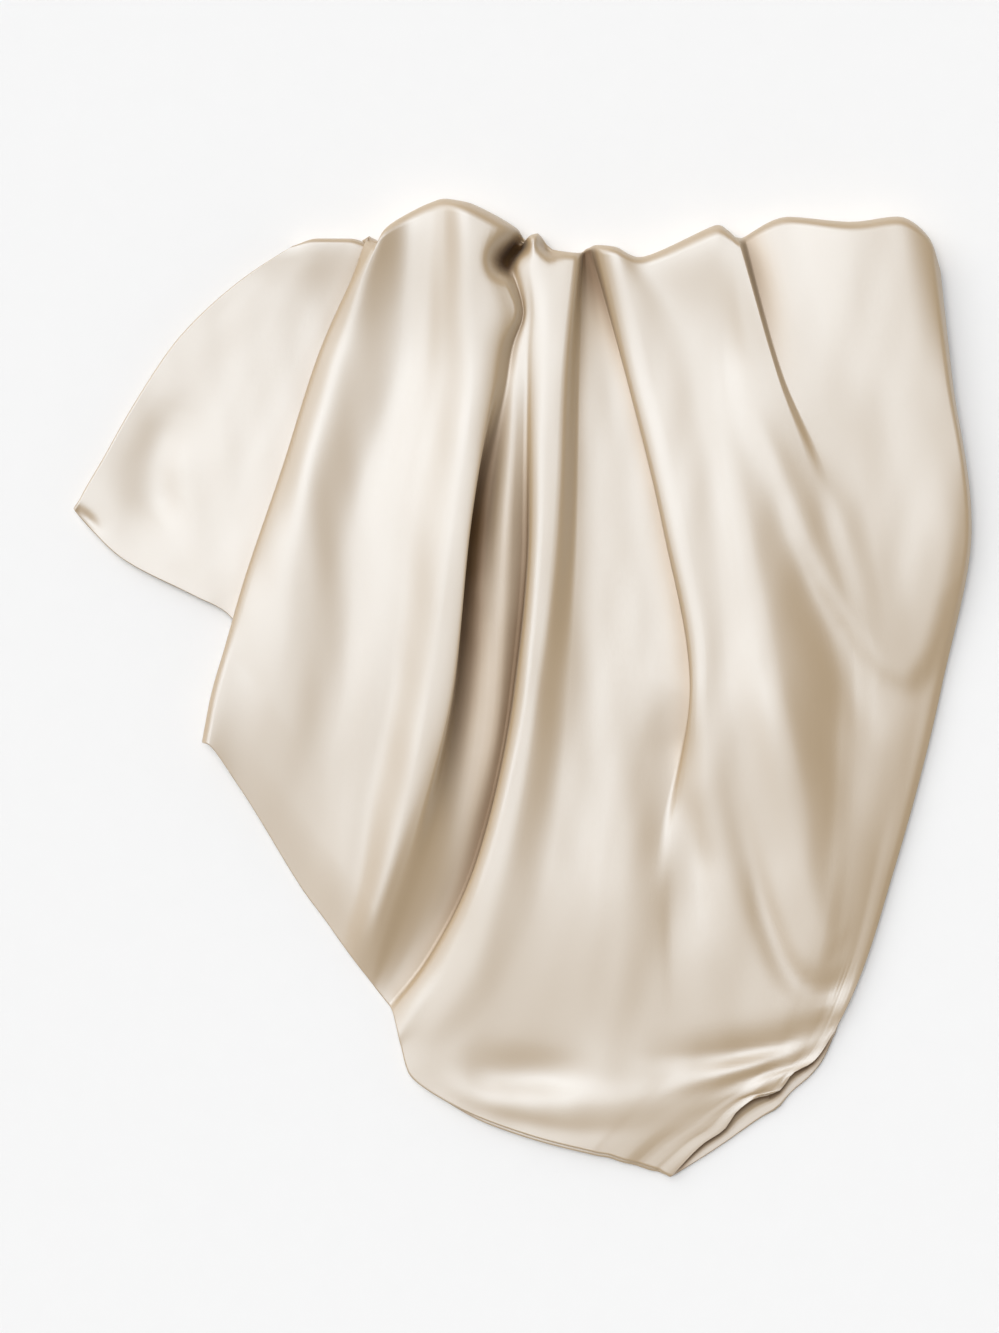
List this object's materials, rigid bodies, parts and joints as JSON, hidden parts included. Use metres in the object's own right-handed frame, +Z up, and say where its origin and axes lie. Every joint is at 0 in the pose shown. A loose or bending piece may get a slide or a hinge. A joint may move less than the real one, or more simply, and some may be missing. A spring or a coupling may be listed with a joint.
{
  "type": "pillowcase",
  "caption": "Empty satin pillowcase laid down in long loose folds, its head end turned under, one corner flap folded beneath a pleat.",
  "frame": {"origin": "middle of the folded case's outline, on the surface that it rests on", "axes": "+Z up from that surface; +Y from the open hem towards the head edge that is turned under; +X to the right seen from above"},
  "size_m": [0.5111, 0.557, 0.038],
  "materials": {
    "satin": "soft satin sheen, pale champagne"
  },
  "bodies": {
    "root": {"front_panel": "satin", "back_panel": "satin"}
  },
  "joints": []
}
